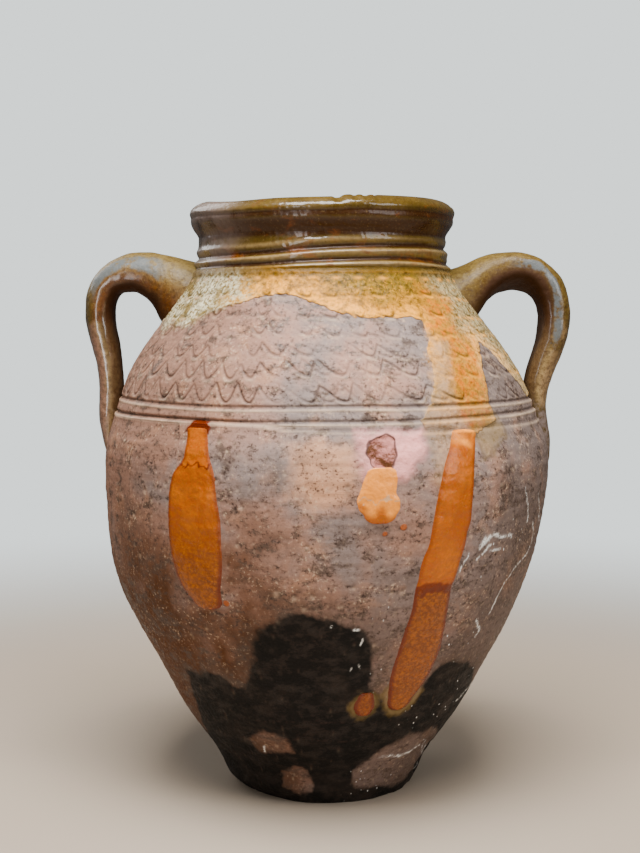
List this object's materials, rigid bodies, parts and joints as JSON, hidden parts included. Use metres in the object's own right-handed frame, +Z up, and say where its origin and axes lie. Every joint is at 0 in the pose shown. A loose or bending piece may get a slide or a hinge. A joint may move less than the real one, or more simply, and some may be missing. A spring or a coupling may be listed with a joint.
{
  "type": "two-handled jar",
  "caption": "Wheel-thrown earthenware storage jar with an open rolled rim, a strap handle on each side of the shoulder, combed wavy rows, a cone foot and glaze runs.",
  "frame": {"origin": "middle of the flat foot, on the surface that the jar stands on", "axes": "+Z up along the turning axis to the mouth, +X to the handle on the right as the picture shows it, -Y to the front with the glaze runs"},
  "size_m": [0.2998, 0.2756, 0.36],
  "materials": {
    "fired_clay": "bare fired clay, mauve-brown to pinkish grey, with fine throwing lines and a charcoal fire cloud, satin",
    "glazed_clay": "clay under a thin ochre to honey glaze that leaves the front bare, with six combed wavy rows cut through",
    "honey_glaze": "glossy see-through olive to honey-brown glaze, dark in the hollows and tan on the ridges",
    "handle_glaze": "olive-brown glaze on the arch, worn thin at the side and bare mauve-grey clay at the tail",
    "inner_glaze": "thin brown lead glaze, glossy, lining the whole inside",
    "amber_glaze": "thick orange-amber glaze run with darker red-brown edges, glossy"
  },
  "bodies": {
    "root": {"foot_disc": "fired_clay", "lower_body": "fired_clay", "belly": "fired_clay", "shoulder": "glazed_clay", "neck_collar": "honey_glaze", "rolled_rim": "honey_glaze", "handle_left": "handle_glaze", "handle_right": "handle_glaze", "inner_glaze": "inner_glaze", "glaze_run_left": "amber_glaze", "glaze_run_right": "amber_glaze", "glaze_drop_high": "amber_glaze", "glaze_drop_low": "amber_glaze"}
  },
  "joints": []
}
